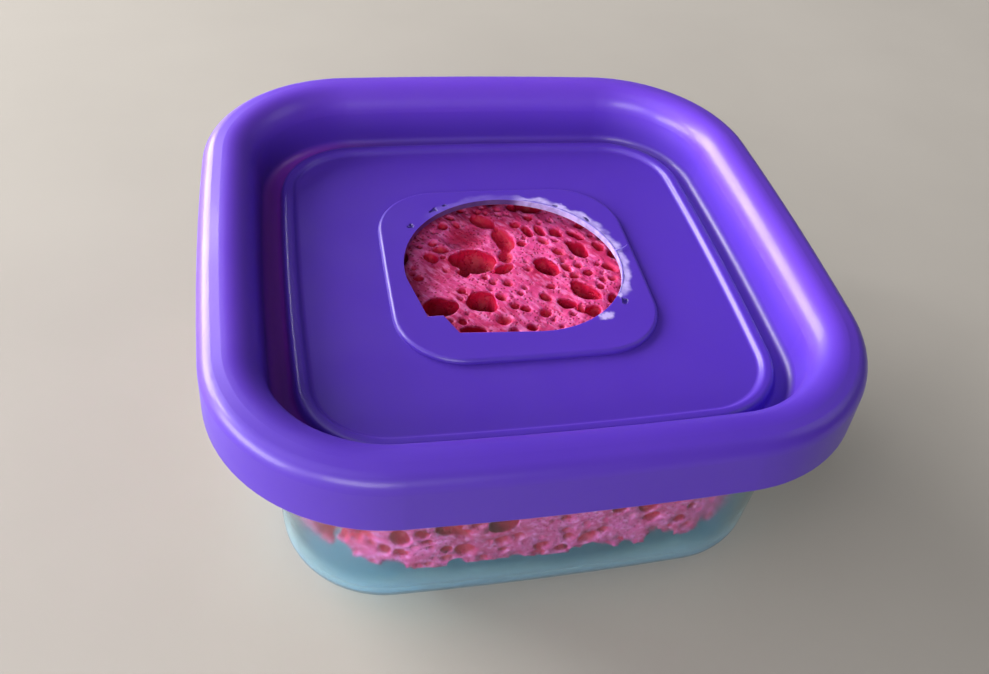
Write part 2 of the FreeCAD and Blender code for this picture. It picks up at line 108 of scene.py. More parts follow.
# Notches beside the hole where the knife slipped, and places that it bruised: x and y of the middle,
# length and width in millimetres, and the turn of the length from the x axis in degrees. Then the
# notches' depth, and how fine and how large the unevenness of all these marks is.
NOTCHES = [
    (-16.8, 12.3, 1.8, 1.1, 60),
    (-12.0, 16.8, 2.6, 1.1, 35),
    (-9.7, 17.9, 1.4, 0.8, 25),
    (11.1, 16.7, 1.6, 0.8, -30),
    (16.3, 12.3, 2.0, 1.0, -60),
    (17.1, -11.0, 2.2, 1.1, 70),
]
BRUISES = [
    (12.9, -14.3, 4.0, 2.2, 28),
    (16.7, -9.4, 2.0, 1.2, 70),
    (12.0, 16.4, 3.4, 2.2, -35),
]
NOTCH_DEPTH = 0.4 * MM
MARK_GRAIN = 0.9 * MM
MARK_WANDER = 1.4 * MM

# What the knife left standing on the hole's edge: a low lip and a hair of plastic. The lip's size along
# the edge is a share of its full one, which tears and nicks change and which falls off at its ends.
BURR_WIDTH = 0.5 * MM
BURR_HEIGHT = 0.12 * MM
BURR_SIDES = 10
BURR_STEPS = 110
BURR_TEARS = 24
BURR_NICKS = 80
BURR_TEAR_SIZE = 0.8
BURR_NICK_SIZE = 0.5
BURR_PLAIN_SIZE = 0.7
BURR_LEAST_SIZE = 0.12
BURR_END_SLOPE = 9
BURR_END_SIZE = 0.15
SLIVER_FROM = Vector((19.4, 2.4, 36.9)) * MM
SLIVER_TO = Vector((21.8, 3.5, 37.3)) * MM
SLIVER_WIDTH = 0.3 * MM
SLIVER_BOW = 0.3 * MM

# The sponge's section, from the floor up: height and half width
SPONGE_LOW, SPONGE_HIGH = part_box("sponge")
SPONGE_HALF = SPONGE_HIGH.x
SPONGE_CORNER = 23.0 * MM
SPONGE_LEVELS = [
    (SPONGE_LOW.z, SPONGE_HALF - 15.0 * MM),
    (SPONGE_LOW.z + 8.2 * MM, SPONGE_HALF - 1.5 * MM),
    (SPONGE_HIGH.z - 1.5 * MM, SPONGE_HALF - 0.2 * MM),
    (SPONGE_HIGH.z - 1.5 * MM, SPONGE_HALF - 5.0 * MM),
    (SPONGE_HIGH.z - 0.1 * MM, SPONGE_HALF - 8.0 * MM),
]

# The largest pores that show in the lid's hole: x and y of the mouth's middle, its length and width and
# the pore's depth in millimetres, and the turn of the length from the x axis in degrees
SHOWN_PORES = [
    (-6, 6, 7, 6.5, 4.2, -45),
    (-6.5, 13, 8, 7, 0.8, -65),
    (-2.5, 17.5, 5, 3, 2.2, -45),
    (0.5, 12, 6, 3.4, 2.0, -75),
    (-13.5, 8, 3, 2.5, 1.8, -70),
    (-11.5, 10, 3, 2, 1.6, -25),
    (-14, -6, 5.5, 4.5, 5.0, -15),
    (-6.5, -5, 5, 4.5, 4.2, -70),
    (-8.5, 3, 2.5, 1.5, 1.8, -45),
    (-1, 3.5, 4, 2, 2.4, 30),
    (0, 7, 3.5, 2.5, 1.3, 75),
    (-9, -12, 4, 2, 3.0, -5),
    (-3.5, -10, 2.5, 2, 1.2, 10),
    (7, 3.5, 5.5, 3, 4.2, -60),
    (14, 8, 4.5, 3, 4.4, -70),
    (11, 13.5, 2.5, 2, 2.4, -55),
    (8, 14, 3, 1.5, 2.2, -75),
    (5.5, 14, 3, 1.5, 2.2, -80),
    (14.5, 12.5, 3.5, 1.5, 2.4, -55),
    (18, 8.5, 3, 1.5, 2.0, -65),
    (12.5, -4, 5.5, 3.2, 3.6, -40),
    (8.5, -6.5, 3.5, 2, 3.6, -30),
    (12.5, -9, 3, 2.5, 2.4, 60),
    (17, -6, 2.5, 1.5, 2.2, 65),
    (10.5, -8.5, 2, 1.5, 1.8, -65),
    (10.5, 3, 2.5, 1.5, 1.6, -65),
    (8, 11, 2.5, 1.5, 1.2, -50),
    (10, 7.5, 2.5, 1.5, 1.4, -40),
    (18.5, 2.5, 2.5, 1.5, 1.8, -40),
]

# How far from the middle the sponge shows in the hole, how deep its faces there are kept when the mesh
# is thinned out, how deep the larger random pores stay out, and how the fibres are turned
SHOWN_REACH = 21.0 * MM
SHOWN_LAYER = 7.0 * MM
SHOWN_FACE = 3.0 * MM
GRAIN_TURN = math.radians(-57)

# A shown pore's middle lies this share of its half depth below the sponge's face, so that it is a little
# wider inside than at its mouth. Smaller balls round the main one make its outline uneven: how many, how
# large and how far out they are, as shares of the main one.
SHOWN_SINK = 0.3
SHOWN_LOBES = 4
LOBE_SIZES = (0.4, 0.7)
LOBE_REACHES = (0.4, 0.75)

# Pores elsewhere: how many are tried, their smallest and largest diameters, the heights that they keep
# to above the table, and how far apart they stay in shares of their radii, all sizes in millimetres.
# Their middles lie at a share of their radius below the surface, their half widths are stretched at
# random, and in the hole none has a radius above the largest unshown one.
PORE_GROUPS = [
    (130, 4.0, 6.8, 0, 60, 0.9),
    (1300, 2.4, 5.0, 8.0, 11.0, 0.7),
    (700, 2.0, 4.0, 0, 60, 0.85),
    (3000, 1.1, 2.0, 0, 60, 0.95),
    (3000, 0.9, 1.7, 31, 60, 1.05),
]
PORE_SINKS = (0.2, 0.7)
PORE_STRETCHES = (0.78, 1.3)
PORE_SEED = 11
LARGEST_UNSHOWN = 1.1 * MM

# Balls that cut pores are finer the larger they are: the half widths above which the next level is
# used. Balls of one cutter keep apart by this many times their reach.
MIDDLING_BALL = 0.8 * MM
LARGE_BALL = 1.6 * MM
BALL_MARGIN = 1.05

# The sponge's mesh: how fine it is before and after thinning, and the swells that make it uneven
SPONGE_VOXEL = 0.26 * MM
SPONGE_FACES = 195000
SPONGE_SWELLS = [
    ("sponge_waves", 9.0 * MM, 1.2 * MM, "Z"),
    ("sponge_grain", 1.1 * MM, 0.3 * MM, "NORMAL"),
]


def linear(hex_colour):
    """An sRGB hex colour as linear red, green, blue and alpha."""
    parts = [int(hex_colour[i:i + 2], 16) / 255 for i in (1, 3, 5)]
    return [p / 12.92 if p <= 0.04045 else ((p + 0.055) / 1.055) ** 2.4 for p in parts] + [1.0]


def new_material(name):
    """An empty node material and its node tree."""
    material = bpy.data.materials.new(name)
    material.use_nodes = True
    material.node_tree.nodes.clear()
    return material, material.node_tree


def add_node(tree, kind, settings=None, inputs=None):
    """Adds a node. Settings are its properties, and inputs are values or other nodes' outputs."""
    node = tree.nodes.new(kind)
    for name, setting in (settings or {}).items():
        setattr(node, name, setting)
    for socket, source in (inputs or {}).items():
        if isinstance(source, bpy.types.NodeSocket):
            tree.links.new(source, node.inputs[socket])
        else:
            node.inputs[socket].default_value = source
    return node


def between(tree, towards, start, end):
    """One between two bearings from the middle of the hole and nought outside them, with soft ends."""
    middle, limit = (start + end) / 2, math.cos((end - start) / 2)
    facing = add_node(tree, "ShaderNodeVectorMath", {"operation": "DOT_PRODUCT"}, {
        0: towards, 1: (math.cos(middle), math.sin(middle), 0)}).outputs["Value"]
    return add_node(tree, "ShaderNodeMapRange", {"interpolation_type": "SMOOTHSTEP"}, {
        "Value": facing, "From Min": limit + END_SOFTNESS[0],
        "From Max": limit + END_SOFTNESS[1]}).outputs["Result"]


def whitened_edge(tree, place, plan, reach):
    """How far the plastic is whitened: a ragged, streaked band along part of the hole's edge."""
    ragged = add_node(tree, "ShaderNodeTexNoise", inputs={
        "Vector": place, "Scale": 1 / RAGGED_GRAIN, "Detail": 2.0}).outputs["Fac"]
    edge = add_node(tree, "ShaderNodeMath", {"operation": "MULTIPLY_ADD"}, {
        0: ragged, 1: RAGGED_REACH, 2: reach}).outputs["Value"]
    outer = CUT_RADIUS + WHITENED_WIDTH + RAGGED_REACH / 2
    band = add_node(tree, "ShaderNodeMapRange", {"interpolation_type": "SMOOTHSTEP"}, {
        "Value": edge, "From Min": outer - WHITENED_FADE, "From Max": outer + WHITENED_FADE,
        "To Min": 1.0, "To Max": 0.0}).outputs["Result"]
    towards = add_node(tree, "ShaderNodeVectorMath", {"operation": "NORMALIZE"}, {
        0: plan}).outputs["Vector"]
    strong = between(tree, towards, WHITENED_FROM, WHITENED_TO)
    faint = between(tree, towards, WHITENED_TO, FAINT_TO)
    shown = add_node(tree, "ShaderNodeMath", {"operation": "MULTIPLY_ADD", "use_clamp": True}, {
        0: faint, 1: FAINT_SHARE, 2: strong}).outputs["Value"]
    streaks = add_node(tree, "ShaderNodeTexNoise", inputs={
        "Vector": place, "Scale": 1 / STREAK_GRAIN, "Detail": 3.0}).outputs["Fac"]
    patchy = add_node(tree, "ShaderNodeMapRange", inputs={
        "Value": streaks, "From Min": 0.35, "From Max": 0.6,
        "To Min": 0.6, "To Max": 1.0}).outputs["Result"]
    whole = add_node(tree, "ShaderNodeMath", {"operation": "MULTIPLY"}, {
        0: band, 1: shown}).outputs["Value"]
    return add_node(tree, "ShaderNodeMath", {"operation": "MULTIPLY"}, {
        0: whole, 1: patchy}).outputs["Value"]


def marks(tree, place, rows):
    """One in the middle of each mark of a list and nought outside them."""
    wander = add_node(tree, "ShaderNodeTexNoise", inputs={
        "Vector": place, "Scale": 1 / MARK_GRAIN, "Detail": 2.0}).outputs["Color"]
    centred = add_node(tree, "ShaderNodeVectorMath", {"operation": "SUBTRACT"}, {
        0: wander, 1: (0.5, 0.5, 0.5)}).outputs["Vector"]
    ragged = add_node(tree, "ShaderNodeVectorMath", {"operation": "MULTIPLY_ADD"}, {
        0: centred, 1: (MARK_WANDER, MARK_WANDER, 0), 2: place}).outputs["Vector"]
    found = 0.0
    for x, y, length, width, turn in rows:
        own = add_node(tree, "ShaderNodeMapping", {"vector_type": "TEXTURE"}, {
            "Vector": ragged, "Location": (x * MM, y * MM, 0), "Rotation": (0, 0, math.radians(turn)),
            "Scale": (length * MM / 2, width * MM / 2, 1)}).outputs["Vector"]
        away = add_node(tree, "ShaderNodeVectorMath", {"operation": "LENGTH"}, {0: own}).outputs["Value"]
        mark = add_node(tree, "ShaderNodeMapRange", {"interpolation_type": "SMOOTHSTEP"}, {
            "Value": away, "From Min": 0.4, "From Max": 1.0,
            "To Min": 1.0, "To Max": 0.0}).outputs["Result"]
        found = add_node(tree, "ShaderNodeMath", {"operation": "MAXIMUM"}, {
            0: found, 1: mark}).outputs["Value"]
    return found


def cut_face(tree, reach):
    """One on the upright faces that the knife cut round the hole and nought elsewhere."""
    normal = add_node(tree, "ShaderNodeNewGeometry").outputs["Normal"]
    rise = add_node(tree, "ShaderNodeSeparateXYZ", inputs={0: normal}).outputs["Z"]
    lean = add_node(tree, "ShaderNodeMath", {"operation": "ABSOLUTE"}, {0: rise}).outputs["Value"]
    upright = add_node(tree, "ShaderNodeMapRange", inputs={
        "Value": lean, "From Min": 0.2, "From Max": 0.5, "To Min": 1.0, "To Max": 0.0}).outputs["Result"]
    near = add_node(tree, "ShaderNodeMath", {"operation": "LESS_THAN"}, {
        0: reach, 1: CUT_REACH}).outputs["Value"]
    return add_node(tree, "ShaderNodeMath", {"operation": "MULTIPLY"}, {
        0: upright, 1: near}).outputs["Value"]


def lid_polyethylene():
    """Moulded purple polyethylene: satin and slightly waxy, with faint flow marks and fine scuffs, pale
    where the knife stretched it round the hole. Painted light: a plum glow at the left of the groove,
    over the sponge, for the lit sponge's light through the plastic, and a lighter bead at its sides and
    back, where the hollow bead is lit. Painted shade: dark plum cut faces round the hole, and dark in
    each notch."""
    material, tree = new_material("lid_polyethylene")
    place = add_node(tree, "ShaderNodeTexCoord").outputs["Object"]
    flow = add_node(tree, "ShaderNodeTexNoise", inputs={
        "Vector": place, "Scale": 1 / (30 * MM), "Detail": 3.0, "Roughness": 0.5}).outputs["Fac"]
    plain = add_node(tree, "ShaderNodeMix", {"data_type": "RGBA"}, {
        0: flow, 6: linear("#482aa6"), 7: linear("#502eb0")}).outputs[2]
    along = add_node(tree, "ShaderNodeSeparateXYZ", inputs={0: place})
    low = add_node(tree, "ShaderNodeMapRange", {"interpolation_type": "SMOOTHSTEP"}, {
        "Value": along.outputs["Z"], "From Min": GROOVE_FLOOR, "From Max": PANEL_TOP,
        "To Min": 1.0, "To Max": 0.0}).outputs["Result"]
    left = add_node(tree, "ShaderNodeMapRange", {"interpolation_type": "SMOOTHSTEP"}, {
        "Value": along.outputs["X"], "From Min": GROOVE_GLOW_FROM, "From Max": GROOVE_GLOW_TO,
        "To Min": 0.7, "To Max": 0.05}).outputs["Result"]
    # Painted glow: plum in the groove's left, for light from the lit sponge through the thin plastic.
    groove_glow_share = add_node(tree, "ShaderNodeMath", {"operation": "MULTIPLY"}, {
        0: low, 1: left}).outputs["Value"]
    groove_glow_painted = add_node(tree, "ShaderNodeMix", {"data_type": "RGBA"}, {
        0: groove_glow_share, 6: plain, 7: linear("#8a2ab4")}).outputs[2]
    # Painted light: the bead made lighter at its sides and back, for the light on and through it.
    high = add_node(tree, "ShaderNodeMapRange", {"interpolation_type": "SMOOTHSTEP"}, {
        "Value": along.outputs["Z"], "From Min": PAD_TOP, "From Max": BEAD_SHOULDER}).outputs["Result"]
    far = add_node(tree, "ShaderNodeMapRange", {"interpolation_type": "SMOOTHSTEP"}, {
        "Value": along.outputs["Y"], "From Min": BEAD_LIGHT_FROM, "From Max": BEAD_LIGHT_TO,
        "To Max": 0.7}).outputs["Result"]
    bead_light_share = add_node(tree, "ShaderNodeMath", {"operation": "MULTIPLY"}, {
        0: high, 1: far}).outputs["Value"]
    bead_lit_painted = add_node(tree, "ShaderNodeMix", {"data_type": "RGBA"}, {
        0: bead_light_share, 6: groove_glow_painted, 7: linear("#6a40d0")}).outputs[2]
    plan = add_node(tree, "ShaderNodeVectorMath", {"operation": "MULTIPLY_ADD"}, {
        0: place, 1: (1, 1, 0), 2: -CUT_MIDDLE}).outputs["Vector"]
    reach = add_node(tree, "ShaderNodeVectorMath", {"operation": "LENGTH"}, {0: plan}).outputs["Value"]
    whitened = whitened_edge(tree, place, plan, reach)
    bruised = marks(tree, place, BRUISES)
    stretched = add_node(tree, "ShaderNodeMath", {"operation": "MAXIMUM"}, {
        0: whitened, 1: bruised}).outputs["Value"]
    # Painted shade: the upright cut faces round the hole made dark plum.
    cut_face_shade_painted = add_node(tree, "ShaderNodeMix", {"data_type": "RGBA"}, {
        0: cut_face(tree, reach), 6: bead_lit_painted, 7: linear("#3c1c68")}).outputs[2]
    pale = add_node(tree, "ShaderNodeMix", {"data_type": "RGBA"}, {
        0: stretched, 6: cut_face_shade_painted, 7: linear("#b6a8e8")}).outputs[2]
    # Painted shade: each notch is dented by a bump and also made dark.
    notch_dents_and_shade = marks(tree, place, NOTCHES)
    colour = add_node(tree, "ShaderNodeMix", {"data_type": "RGBA"}, {
        0: notch_dents_and_shade, 6: pale, 7: linear("#24106c")}).outputs[2]
    scuff = add_node(tree, "ShaderNodeTexNoise", inputs={
        "Vector": place, "Scale": 1 / (9 * MM), "Detail": 2.0}).outputs["Fac"]
    gloss = add_node(tree, "ShaderNodeMapRange", inputs={
        "Value": scuff, "From Min": 0.3, "From Max": 0.7,
        "To Min": 0.37, "To Max": 0.44}).outputs["Result"]
    peel = add_node(tree, "ShaderNodeTexNoise", inputs={
        "Vector": place, "Scale": 1 / (0.6 * MM), "Detail": 1.0}).outputs["Fac"]
    smooth = add_node(tree, "ShaderNodeBump", inputs={
        "Height": peel, "Strength": 0.25, "Distance": 0.012 * MM}).outputs["Normal"]
    bump = add_node(tree, "ShaderNodeBump", {"invert": True}, {
        "Height": notch_dents_and_shade, "Strength": 1.0, "Distance": NOTCH_DEPTH, "Normal": smooth}).outputs["Normal"]
    shader = add_node(tree, "ShaderNodeBsdfPrincipled", inputs={
        "Base Color": colour, "Roughness": gloss, "IOR": 1.51, "Specular IOR Level": 0.45, "Normal": bump,
        "Coat Weight": 0.15, "Coat Roughness": 0.08, "Coat IOR": 1.4,
        "Subsurface Weight": 0.3, "Subsurface Radius": (1.0, 0.7, 1.6), "Subsurface Scale": 1.0 * MM})
    add_node(tree, "ShaderNodeOutputMaterial", inputs={"Surface": shader.outputs[0]})
    return material


def torn_polyethylene():
    """The lid's plastic where a blade has stretched it: pale and dull, with some purple left."""
    material, tree = new_material("torn_polyethylene")
    place = add_node(tree, "ShaderNodeTexCoord").outputs["Object"]
    streak = add_node(tree, "ShaderNodeTexNoise", inputs={
        "Vector": place, "Scale": 1 / (0.9 * MM), "Detail": 4.0}).outputs["Fac"]
    colour = add_node(tree, "ShaderNodeMix", {"data_type": "RGBA"}, {
        0: streak, 6: linear("#5f4cb8"), 7: linear("#8f80d2")}).outputs[2]
    bump = add_node(tree, "ShaderNodeBump", inputs={
        "Height": streak, "Strength": 0.6, "Distance": 0.2 * MM}).outputs["Normal"]
    shader = add_node(tree, "ShaderNodeBsdfPrincipled", inputs={
        "Base Color": colour, "Roughness": 0.42, "IOR": 1.51, "Normal": bump,
        "Subsurface Weight": 0.4, "Subsurface Radius": (1.0, 0.9, 1.3), "Subsurface Scale": 0.5 * MM})
    add_node(tree, "ShaderNodeOutputMaterial", inputs={"Surface": shader.outputs[0]})
    return material


def tub_polypropylene():
    """Thin moulded polypropylene with a pale aqua tint: it lets light through with a haze, so that what
    touches it shows and what stands off is lost. The thicker foot is milky."""
    material, tree = new_material("tub_polypropylene")
    place = add_node(tree, "ShaderNodeTexCoord").outputs["Object"]
    height = add_node(tree, "ShaderNodeSeparateXYZ", inputs={0: place}).outputs["Z"]
    cloud = add_node(tree, "ShaderNodeTexNoise", inputs={
        "Vector": place, "Scale": 1 / (14 * MM), "Detail": 1.0}).outputs["Fac"]
    level = add_node(tree, "ShaderNodeMath", {"operation": "MULTIPLY_ADD"}, {
        0: cloud, 1: 4 * MM, 2: height}).outputs["Value"]
    clear = add_node(tree, "ShaderNodeMapRange", {"interpolation_type": "SMOOTHSTEP"}, {
        "Value": level, "From Min": 2 * MM, "From Max": 13 * MM}).outputs["Result"]
    colour = add_node(tree, "ShaderNodeMix", {"data_type": "RGBA"}, {
        0: clear, 6: linear("#709cbe"), 7: linear("#cbe8ea")}).outputs[2]
    through = add_node(tree, "ShaderNodeMapRange", inputs={
        "Value": clear, "To Min": 0.55, "To Max": 0.99}).outputs["Result"]
    wall = add_node(tree, "ShaderNodeBsdfPrincipled", inputs={
        "Base Color": colour, "Roughness": 0.17, "IOR": 1.25,
        "Transmission Weight": through})
    passed = add_node(tree, "ShaderNodeBsdfTransparent", inputs={"Color": linear("#f3fafa")})
    from_lamp = add_node(tree, "ShaderNodeLightPath").outputs["Is Shadow Ray"]
    lit = add_node(tree, "ShaderNodeMixShader", inputs={
        0: from_lamp, 1: wall.outputs[0], 2: passed.outputs[0]})
    add_node(tree, "ShaderNodeOutputMaterial", inputs={"Surface": lit.outputs[0]})
    return material


def sponge_cellulose():
    """Damp regenerated cellulose: pink and faintly fibrous on its face. Its pores are a red that darkens
    with depth, partly from their wetness and partly as painted shade. Pin pores half a millimetre wide
    cover patches of what lies between them, painted dark red, partly wet and partly painted shade."""
    material, tree = new_material("sponge_cellulose")
    place = add_node(tree, "ShaderNodeTexCoord").outputs["Object"]
    depth = add_node(tree, "ShaderNodeAttribute", {"attribute_name": "depth"}).outputs["Fac"]
    # Partly wet and partly painted shade: the pores redder, then darker, with depth below the block's
    # face.
    pore_wet_and_shade = add_node(tree, "ShaderNodeMapRange", {"interpolation_type": "SMOOTHSTEP"}, {
        "Value": depth, "From Min": 0.15 * MM, "From Max": 0.9 * MM}).outputs["Result"]
    deep_wet_and_shade = add_node(tree, "ShaderNodeMapRange", inputs={
        "Value": depth, "From Min": 1.5 * MM, "From Max": 4.5 * MM}).outputs["Result"]
    mottle = add_node(tree, "ShaderNodeTexNoise", inputs={
        "Vector": place, "Scale": 1 / (7 * MM), "Detail": 5.0, "Roughness": 0.65}).outputs["Fac"]
    spread = add_node(tree, "ShaderNodeMapRange", inputs={
        "Value": mottle, "From Min": 0.3, "From Max": 0.7}).outputs["Result"]
    skin = add_node(tree, "ShaderNodeMix", {"data_type": "RGBA"}, {
        0: spread, 6: linear("#ae1a4c"), 7: linear("#da529c")}).outputs[2]
    grain_line = add_node(tree, "ShaderNodeMapping", {"vector_type": "TEXTURE"}, {
        "Vector": place, "Rotation": (0, 0, GRAIN_TURN), "Scale": (3.0, 1.0, 1.0)}).outputs["Vector"]
    fibre = add_node(tree, "ShaderNodeTexNoise", inputs={
        "Vector": grain_line, "Scale": 1 / (0.8 * MM), "Detail": 3.0}).outputs["Fac"]
    wisps = add_node(tree, "ShaderNodeMapRange", inputs={
        "Value": fibre, "From Min": 0.48, "From Max": 0.68, "To Max": 0.6}).outputs["Result"]
    fibrous = add_node(tree, "ShaderNodeMix", {"data_type": "RGBA"}, {
        0: wisps, 6: skin, 7: linear("#ee86cc")}).outputs[2]
    pin = add_node(tree, "ShaderNodeTexVoronoi", {"feature": "F1"}, {
        "Vector": place, "Scale": 1 / (0.75 * MM)}).outputs["Distance"]
    pin_pore = add_node(tree, "ShaderNodeMapRange", {"interpolation_type": "SMOOTHSTEP"}, {
        "Value": pin, "From Min": 0.1, "From Max": 0.4, "To Min": 1.0, "To Max": 0.0}).outputs["Result"]
    patchy = add_node(tree, "ShaderNodeMapRange", {"interpolation_type": "SMOOTHSTEP"}, {
        "Value": mottle, "From Min": 0.34, "From Max": 0.5, "To Max": 0.85}).outputs["Result"]
    pins = add_node(tree, "ShaderNodeMath", {"operation": "MULTIPLY"}, {
        0: pin_pore, 1: patchy}).outputs["Value"]
    # Painted shade, with wet red: the pin pores made dark.
    pin_pores_wet_and_shaded = add_node(tree, "ShaderNodeMix", {"data_type": "RGBA"}, {
        0: pins, 6: fibrous, 7: linear("#9c0c40")}).outputs[2]
    pore_colour_wet_and_shaded = add_node(tree, "ShaderNodeMix", {"data_type": "RGBA"}, {
        0: pore_wet_and_shade, 6: pin_pores_wet_and_shaded, 7: linear("#b80e3e")}).outputs[2]
    colour = add_node(tree, "ShaderNodeMix", {"data_type": "RGBA"}, {
        0: deep_wet_and_shade, 6: pore_colour_wet_and_shaded, 7: linear("#840530")}).outputs[2]
    pits = add_node(tree, "ShaderNodeBump", {"invert": True}, {
        "Height": pins, "Strength": 0.7, "Distance": 0.3 * MM}).outputs["Normal"]
    bump = add_node(tree, "ShaderNodeBump", inputs={
        "Height": fibre, "Strength": 0.6, "Distance": 0.3 * MM, "Normal": pits}).outputs["Normal"]
    shader = add_node(tree, "ShaderNodeBsdfPrincipled", inputs={
        "Base Color": colour, "Roughness": 0.5, "IOR": 1.4, "Specular IOR Level": 0.3, "Normal": bump,
        "Subsurface Weight": 0.4, "Subsurface Radius": (1.0, 0.25, 0.35), "Subsurface Scale": 0.8 * MM})
    add_node(tree, "ShaderNodeOutputMaterial", inputs={"Surface": shader.outputs[0]})
    return material


def studio_floor():
    """A pale matt board."""
    material, tree = new_material("studio_floor")
    place = add_node(tree, "ShaderNodeTexCoord").outputs["Object"]
    tooth = add_node(tree, "ShaderNodeTexNoise", inputs={
        "Vector": place, "Scale": 1 / (40 * MM), "Detail": 6.0}).outputs["Fac"]
    colour = add_node(tree, "ShaderNodeMix", {"data_type": "RGBA"}, {
        0: tooth, 6: linear("#9d9a96"), 7: linear("#a5a29e")}).outputs[2]
    shader = add_node(tree, "ShaderNodeBsdfPrincipled", inputs={"Base Color": colour, "Roughness": 0.8})
    add_node(tree, "ShaderNodeOutputMaterial", inputs={"Surface": shader.outputs[0]})
    return material


def new_piece(name, mesh, material):
    """A finished mesh as an object of the scene."""
    piece = bpy.data.objects.new(name, mesh)
    bpy.context.scene.collection.objects.link(piece)
    piece.data.materials.clear()
    piece.data.materials.append(material)
    return piece


def apply_modifiers(piece):
    """Gives the piece the mesh that its modifiers make, and clears them."""
    graph = bpy.context.evaluated_depsgraph_get()
    mesh = bpy.data.meshes.new_from_object(piece.evaluated_get(graph))
    piece.modifiers.clear()
    piece.data = mesh


def sponge_block():
    """The trimmed block before its pores: rings of the same rounded square, one above the other."""
    shape = bmesh.new()
    bmesh.ops.create_grid(shape, x_segments=1, y_segments=1, size=SPONGE_LEVELS[0][1])
    bmesh.ops.bevel(shape, geom=shape.verts[:], offset=SPONGE_CORNER * SPONGE_LEVELS[0][1] / SPONGE_HALF,
                    affect="VERTICES", segments=10, profile=0.5, material=-1)
    bmesh.ops.translate(shape, verts=shape.verts[:], vec=(0, 0, SPONGE_LEVELS[0][0]))
    base = top = shape.faces[:]
    for (low, before), (high, after) in zip(SPONGE_LEVELS, SPONGE_LEVELS[1:]):
        grown = bmesh.ops.extrude_face_region(shape, geom=top)["geom"]
        if top != base:
            bmesh.ops.delete(shape, geom=top, context="FACES_ONLY")
        ring = [item for item in grown if isinstance(item, bmesh.types.BMVert)]
        top = [item for item in grown if isinstance(item, bmesh.types.BMFace)]
        bmesh.ops.scale(shape, verts=ring, vec=(after / before, after / before, 1))
        bmesh.ops.translate(shape, verts=ring, vec=(0, 0, high - low))
    bmesh.ops.recalc_face_normals(shape, faces=shape.faces[:])
    return shape


def random_surface_points(hull, count, rng):
    """Points spread over the block, with the normals there: rays shot at it from the sides of its box."""
    middle, reach = (SPONGE_LOW + SPONGE_HIGH) / 2, (SPONGE_HIGH - SPONGE_LOW) / 2
    areas = np.array([reach.y * reach.z, reach.z * reach.x, reach.x * reach.y])
    axes = rng.choice(3, count, p=areas / areas.sum())
    starts = rng.uniform(-1, 1, (count, 3))
    points, normals = np.zeros((count, 3)), np.zeros((count, 3))
    for index, (axis, start) in enumerate(zip(axes, starts)):
        outside = Vector(start)
        outside[axis] = 2 * math.copysign(1, start[axis])
        ray = Vector((0, 0, 0))
        ray[axis] = -outside[axis]
        hit, normal, _, _ = hull.ray_cast(middle + outside * reach, ray)
        if hit:
            points[index], normals[index] = hit, normal
    return points, normals


def shown_pores(rng):
    """The pores in the hole, as middle, half widths and turn. Each is one ball with smaller ones round
    it, which make its outline uneven."""
    pores = []
    swell = 1 / math.sqrt(1 - SHOWN_SINK ** 2)
    for x, y, length, width, deep, turn in SHOWN_PORES:
        half = Vector((swell * length / 2, swell * width / 2, deep / (1 + SHOWN_SINK))) * MM
        middle = Vector((x * MM, y * MM, SPONGE_HIGH.z - SHOWN_SINK * half.z))
        spin = Euler((0, 0, math.radians(turn)))
        pores.append((*middle, *half, *spin))
        for bearing in rng.uniform(0, math.tau, SHOWN_LOBES):
            out = Vector((half.x * math.cos(bearing), half.y * math.sin(bearing), 0))
            out.rotate(spin)
            lobe = middle + out * rng.uniform(*LOBE_REACHES)
            pores.append((*lobe, *half * rng.uniform(*LOBE_SIZES), *spin))
    return pores


def sponge_pores(hull, rng):
    """All pores, as middle, half widths and turn: first those that show in the hole, then each group."""
    shown = shown_pores(rng)
    pores = np.zeros((len(shown) + sum(group[0] for group in PORE_GROUPS), 9))
    pores[:len(shown)] = shown
    made = len(shown)
    for count, small, large, low, high, apart in PORE_GROUPS:
        points, normals = random_surface_points(hull, count, rng)
        radii = (small + (large - small) * rng.random(count) ** 2) * MM / 2
        middles = points - normals * (rng.uniform(*PORE_SINKS, count) * radii)[:, None]
        halves = rng.uniform(*PORE_STRETCHES, (count, 3)) * radii[:, None]
        spins = rng.uniform(0, math.tau, (count, 3))
        for middle, half, spin, radius in zip(middles, halves, spins, radii):
            gaps = np.linalg.norm(pores[:made, :3] - middle, axis=1)
            clear = np.all(gaps > apart * (pores[:made, 3:6].mean(axis=1) + radius))
            in_hole = middle[2] > SPONGE_HIGH.z - SHOWN_FACE and math.hypot(*middle[:2]) < SHOWN_REACH
            in_reach = low * MM < middle[2] <= high * MM
            if clear and in_reach and not (in_hole and radius > LARGEST_UNSHOWN):
                pores[made] = *middle, *half, *spin
                made += 1
    return pores[:made]


def pore_batches(pores):
    """The pores in sets that don't touch each other, so that each set is one clean cutter."""
    middles = pores[:, :3]
    reaches = pores[:, 3:6].max(axis=1) * BALL_MARGIN
    batches = []
    for index in range(len(pores)):
        for batch in batches:
            gaps = np.linalg.norm(middles[batch] - middles[index], axis=1)
            if np.all(gaps > reaches[batch] + reaches[index]):
                batch.append(index)
                break
        else:
            batches.append([index])
    return batches


